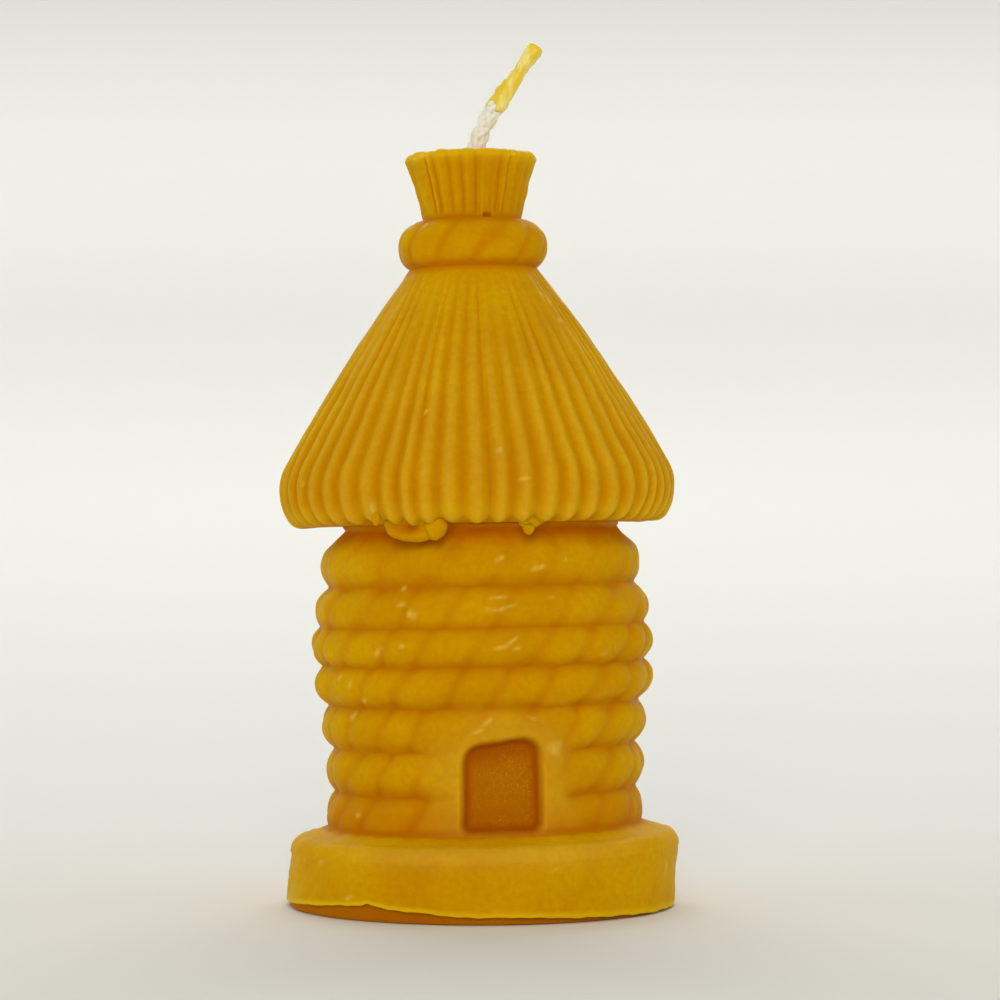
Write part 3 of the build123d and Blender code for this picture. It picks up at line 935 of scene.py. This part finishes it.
class Nodes:
    """Short names for building one node material."""

    def __init__(self, name):
        self.material = bpy.data.materials.new(name)
        self.material.use_nodes = True
        self.tree = self.material.node_tree
        self.tree.nodes.clear()
        self.shader = self.add("ShaderNodeBsdfPrincipled")
        output = self.add("ShaderNodeOutputMaterial")
        self.link(self.shader.outputs[0], output.inputs[0])

    def add(self, kind, **settings):
        node = self.tree.nodes.new(kind)
        for key, value in settings.items():
            if key in node.inputs:
                node.inputs[key].default_value = value
            else:
                setattr(node, key, value)
        return node

    def link(self, out, into):
        self.tree.links.new(out, into)

    def attribute(self, name):
        node = self.add("ShaderNodeAttribute", attribute_name=name)
        return node.outputs["Fac"]

    def noise(self, scale, detail=3.0, roughness=0.55, stretch=None):
        coordinates = self.add("ShaderNodeTexCoord")
        node = self.add("ShaderNodeTexNoise", Scale=scale, Detail=detail, Roughness=roughness)
        out = coordinates.outputs["Object"]
        if stretch:
            mapping = self.add("ShaderNodeMapping", Scale=stretch)
            self.link(out, mapping.inputs["Vector"])
            out = mapping.outputs[0]
        self.link(out, node.inputs["Vector"])
        return node.outputs["Fac"]

    def ramp(self, value, low, high, low_to=0.0, high_to=1.0):
        node = self.add("ShaderNodeMapRange", clamp=True)
        for key, number in (("From Min", low), ("From Max", high), ("To Min", low_to), ("To Max", high_to)):
            node.inputs[key].default_value = number
        self.link(value, node.inputs["Value"])
        return node.outputs[0]

    def math(self, operation, a, b):
        node = self.add("ShaderNodeMath", operation=operation)
        for socket, value in zip(node.inputs, (a, b)):
            if isinstance(value, (int, float)):
                socket.default_value = value
            else:
                self.link(value, socket)
        return node.outputs[0]

    def mix(self, factor, a, b):
        node = self.add("ShaderNodeMix", data_type="RGBA")
        if isinstance(factor, (int, float)):
            node.inputs[0].default_value = factor
        else:
            self.link(factor, node.inputs[0])
        for socket, value in ((node.inputs[6], a), (node.inputs[7], b)):
            if isinstance(value, tuple):
                socket.default_value = (*value, 1.0)
            else:
                self.link(value, socket)
        return node.outputs[2]

    def bump(self, height, strength, distance):
        node = self.add("ShaderNodeBump", Strength=strength, Distance=distance)
        self.link(height, node.inputs["Height"])
        return node


def srgb(red, green, blue):
    """A colour from 0 to 255 sRGB values, as linear values."""
    return tuple(
        c / 12.92 if c <= 0.04045 else ((c + 0.055) / 1.055) ** 2.4
        for c in (red / 255, green / 255, blue / 255)
    )


WAX_RIDGE = srgb(216, 169, 4)
WAX_BODY = srgb(204, 150, 1)
# Darker orange: random clouds, and painted shade in hollows.
WAX_DARK_TONE_AND_SHADE = srgb(193, 117, 1)
# Painted shade in the doorway, under the skirt's lip and in the knot's pit.
WAX_RECESS_SHADE = srgb(168, 84, 1)
# Pale crumbs and chips, and painted sheen and glints.
WAX_PALE = srgb(234, 206, 96)
# Painted shade under the eave: the orange of wax lit through in the eave's shadow.
WAX_EAVE_SHADE = srgb(222, 126, 4)
# Painted light of thin wax edges lit through.
WAX_EDGE_GLOW = srgb(226, 186, 20)
WAX_FROST = srgb(216, 165, 45)
COTTON_DARK = srgb(238, 232, 216)
COTTON_PALE = srgb(250, 248, 240)
DIP_YELLOW = srgb(232, 205, 42)
DIP_PALE = srgb(244, 234, 150)
BACKDROP = srgb(235, 235, 230)


def beeswax(name, scatter):
    """Honey-coloured wax. The meshes' attributes say where painted shade, painted light and painted sheen
    go into its colour, where it has paler crumbs and chips, and where it is frosted.
    """
    n = Nodes(name)
    clouds = n.noise(90.0, 3.0)
    colour = n.mix(n.ramp(clouds, 0.35, 0.7), WAX_BODY, WAX_RIDGE)
    bloom = n.ramp(n.noise(1300.0, 5.0, 0.7), 0.38, 0.68, 0.0, 0.34)
    colour = n.mix(bloom, colour, WAX_DARK_TONE_AND_SHADE)
    # Painted shade in grooves, creases and dents.
    colour = n.mix(n.attribute("painted_hollow_shade"), colour, WAX_DARK_TONE_AND_SHADE)
    # Painted shade in the doorway, under the lip and in the pit.
    colour = n.mix(n.attribute("painted_recess_shade"), colour, WAX_RECESS_SHADE)
    # Painted shade under the eave.
    colour = n.mix(n.attribute("painted_eave_shade"), colour, WAX_EAVE_SHADE)
    # Painted light on thin edges lit through.
    colour = n.mix(n.attribute("painted_edge_glow"), colour, WAX_EDGE_GLOW)
    speckle = n.ramp(n.noise(3600.0, 6.0, 0.8), 0.50, 0.72)
    patches = n.ramp(n.noise(420.0, 3.0), 0.42, 0.62, 0.25, 1.0)
    frost = n.math("MULTIPLY", n.math("MULTIPLY", n.attribute("frost"), speckle), patches)
    colour = n.mix(n.math("MULTIPLY", frost, 0.8), colour, WAX_FROST)
    # Pale crumbs and chips, and painted sheen and glints.
    colour = n.mix(n.attribute("pale_and_sheen"), colour, WAX_PALE)
    n.link(colour, n.shader.inputs["Base Color"])
    n.shader.inputs["Subsurface Weight"].default_value = 0.8
    n.shader.inputs["Subsurface Radius"].default_value = (0.85, 0.72, 0.12)
    n.shader.inputs["Subsurface Scale"].default_value = scatter
    n.shader.inputs["IOR"].default_value = 1.44
    n.shader.inputs["Specular IOR Level"].default_value = 0.015
    n.shader.inputs["Specular Tint"].default_value = (1.0, 0.78, 0.22, 1.0)
    rough = n.ramp(n.noise(420.0, 4.0), 0.3, 0.7, 0.36, 0.52)
    n.link(rough, n.shader.inputs["Roughness"])
    grain = n.bump(n.noise(700.0, 5.0, 0.6), 0.25, 0.00012)
    n.link(grain.outputs[0], n.shader.inputs["Normal"])
    return n.material


def cotton():
    """Bleached cotton yarn."""
    n = Nodes("wick_cotton")
    fibres = n.noise(2400.0, 3.0, 0.6)
    colour = n.mix(n.ramp(fibres, 0.3, 0.7), COTTON_DARK, COTTON_PALE)
    n.link(colour, n.shader.inputs["Base Color"])
    n.shader.inputs["Roughness"].default_value = 0.85
    n.shader.inputs["Sheen Weight"].default_value = 0.3
    n.shader.inputs["Subsurface Weight"].default_value = 0.15
    n.shader.inputs["Subsurface Scale"].default_value = 0.0004
    n.link(n.bump(fibres, 0.4, 0.0001).outputs[0], n.shader.inputs["Normal"])
    return n.material


def wick_wax():
    """The thin, paler wax of the dipped tip, streaked along the wick."""
    n = Nodes("wick_wax")
    streaks = n.noise(900.0, 3.0, 0.6, (1.0, 1.0, 0.25))
    colour = n.mix(n.ramp(streaks, 0.42, 0.62), DIP_YELLOW, DIP_PALE)
    n.link(colour, n.shader.inputs["Base Color"])
    n.shader.inputs["Roughness"].default_value = 0.42
    n.shader.inputs["Subsurface Weight"].default_value = 0.6
    n.shader.inputs["Subsurface Radius"].default_value = (1.0, 0.7, 0.2)
    n.shader.inputs["Subsurface Scale"].default_value = 0.0008
    n.link(n.bump(streaks, 0.35, 0.0002).outputs[0], n.shader.inputs["Normal"])
    return n.material


def paper(name, colour):
    """Plain matt paper."""
    n = Nodes(name)
    n.shader.inputs["Base Color"].default_value = (*colour, 1.0)
    n.shader.inputs["Roughness"].default_value = 0.9
    n.shader.inputs["Specular IOR Level"].default_value = 0.2
    return n.material


# ---- Stage --------------------------------------------------------------------------------


def build_backdrop():
    """A pale sweep: floor that curves up into a wall behind."""
    front, back, bend, half = -0.9, 0.12, 1.5, 1.6
    outline = [(y, 0.0) for y in np.linspace(front, back, 12)]
    outline += [
        (back + bend * math.sin(a), bend * (1 - math.cos(a)))
        for a in np.linspace(0, math.pi / 2, 200)[1:]
    ]
    verts = [(x, y, z) for y, z in outline for x in (-half, half)]
    faces = [(2 * i, 2 * i + 1, 2 * i + 3, 2 * i + 2) for i in range(len(outline) - 1)]
    mesh = bpy.data.meshes.new("backdrop")
    mesh.from_pydata(verts, [], faces)
    mesh.shade_smooth()
    mesh.materials.append(paper("backdrop_paper", BACKDROP))
    sweep = bpy.data.objects.new("backdrop", mesh)
    bpy.context.scene.collection.objects.link(sweep)


WHITE = (1.0, 1.0, 1.0)
WARM = (1.0, 0.93, 0.76)
CAMERA_PLACE = (0.0, -0.400, 0.044)
CAMERA_AIM = (0.00265, 0.0, 0.0498)
CAMERA_LENS = 116.6


def facing(place, aim):
    """The matrix that puts a camera or a lamp at a place and points it at another."""
    direction = Vector(aim) - Vector(place)
    return Matrix.Translation(place) @ direction.to_track_quat("-Z", "Y").to_matrix().to_4x4()


def area_light(name, place, aim, size, power, colour, spread):
    """A softbox of this size in metres and power in watts, with its spread in degrees."""
    light = bpy.data.lights.new(name, "AREA")
    light.shape = "RECTANGLE"
    light.size, light.size_y = size
    light.energy = power
    light.color = colour
    light.spread = math.radians(spread)
    lamp = bpy.data.objects.new(name, light)
    lamp.matrix_world = facing(place, aim)
    bpy.context.scene.collection.objects.link(lamp)


def build_camera():
    """In front of the candle, nearly level with the middle of its hive."""
    camera = bpy.data.cameras.new("camera")
    camera.sensor_width = 36.0
    camera.lens = CAMERA_LENS
    camera.clip_start = 0.01
    holder = bpy.data.objects.new("camera", camera)
    holder.matrix_world = facing(CAMERA_PLACE, CAMERA_AIM)
    bpy.context.scene.collection.objects.link(holder)
    bpy.context.scene.camera = holder


def build_light():
    """Warm softboxes in front and at both sides, and neutral light from behind and on the wall."""
    middle = (0.0, 0.0, 0.05)
    area_light("softbox_back", (0.0, 0.6, 0.5), (0.0, 0.0, 0.02), (0.9, 0.35), 1.54, WHITE, 124)
    area_light("softbox_front", (-0.05, -0.9, 0.30), middle, (0.35, 0.5), 3.7, WARM, 180)
    area_light("softbox_left", (-0.7, 0.1, 0.3), middle, (0.5, 0.6), 0.35, WARM, 180)
    area_light("softbox_right", (0.7, 0.1, 0.3), middle, (0.5, 0.6), 0.35, WARM, 180)
    area_light("wall_wash", (0.0, 0.67, 1.0), (0.0, 0.82, 0.17), (1.6, 0.2), 1.4, WHITE, 62)
    world = bpy.data.worlds.new("studio")
    world.use_nodes = True
    background = world.node_tree.nodes["Background"]
    background.inputs["Color"].default_value = (1.0, 1.0, 0.98, 1.0)
    background.inputs["Strength"].default_value = 0.44
    bpy.context.scene.world = world
    bpy.context.scene.view_settings.view_transform = "Standard"


def finish_piece(piece, material, slot, *nodes):
    """Gives a piece its material, puts it under the root body, and hides the CAD nodes it stands for. The
    slot is not used.
    """
    piece.data.materials.append(material)
    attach(piece, "root")
    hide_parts(*nodes)


build_camera()
build_light()
build_backdrop()
wax = beeswax("beeswax", 0.0014)
finish_piece(build_hive_wax(), wax, "beeswax", "base_plinth", "hive_wall")
finish_piece(build_eave_nubs(), beeswax("beeswax_thin", 0.0005), "beeswax", "eave_nubs")
finish_piece(build_roof_wax(), wax, "beeswax", "roof_thatch", "roof_tie", "topknot")
finish_piece(build_wick(), cotton(), "wick_cotton", "wick")
finish_piece(build_wick_wax(), wick_wax(), "wick_wax", "wick_wax_coat")
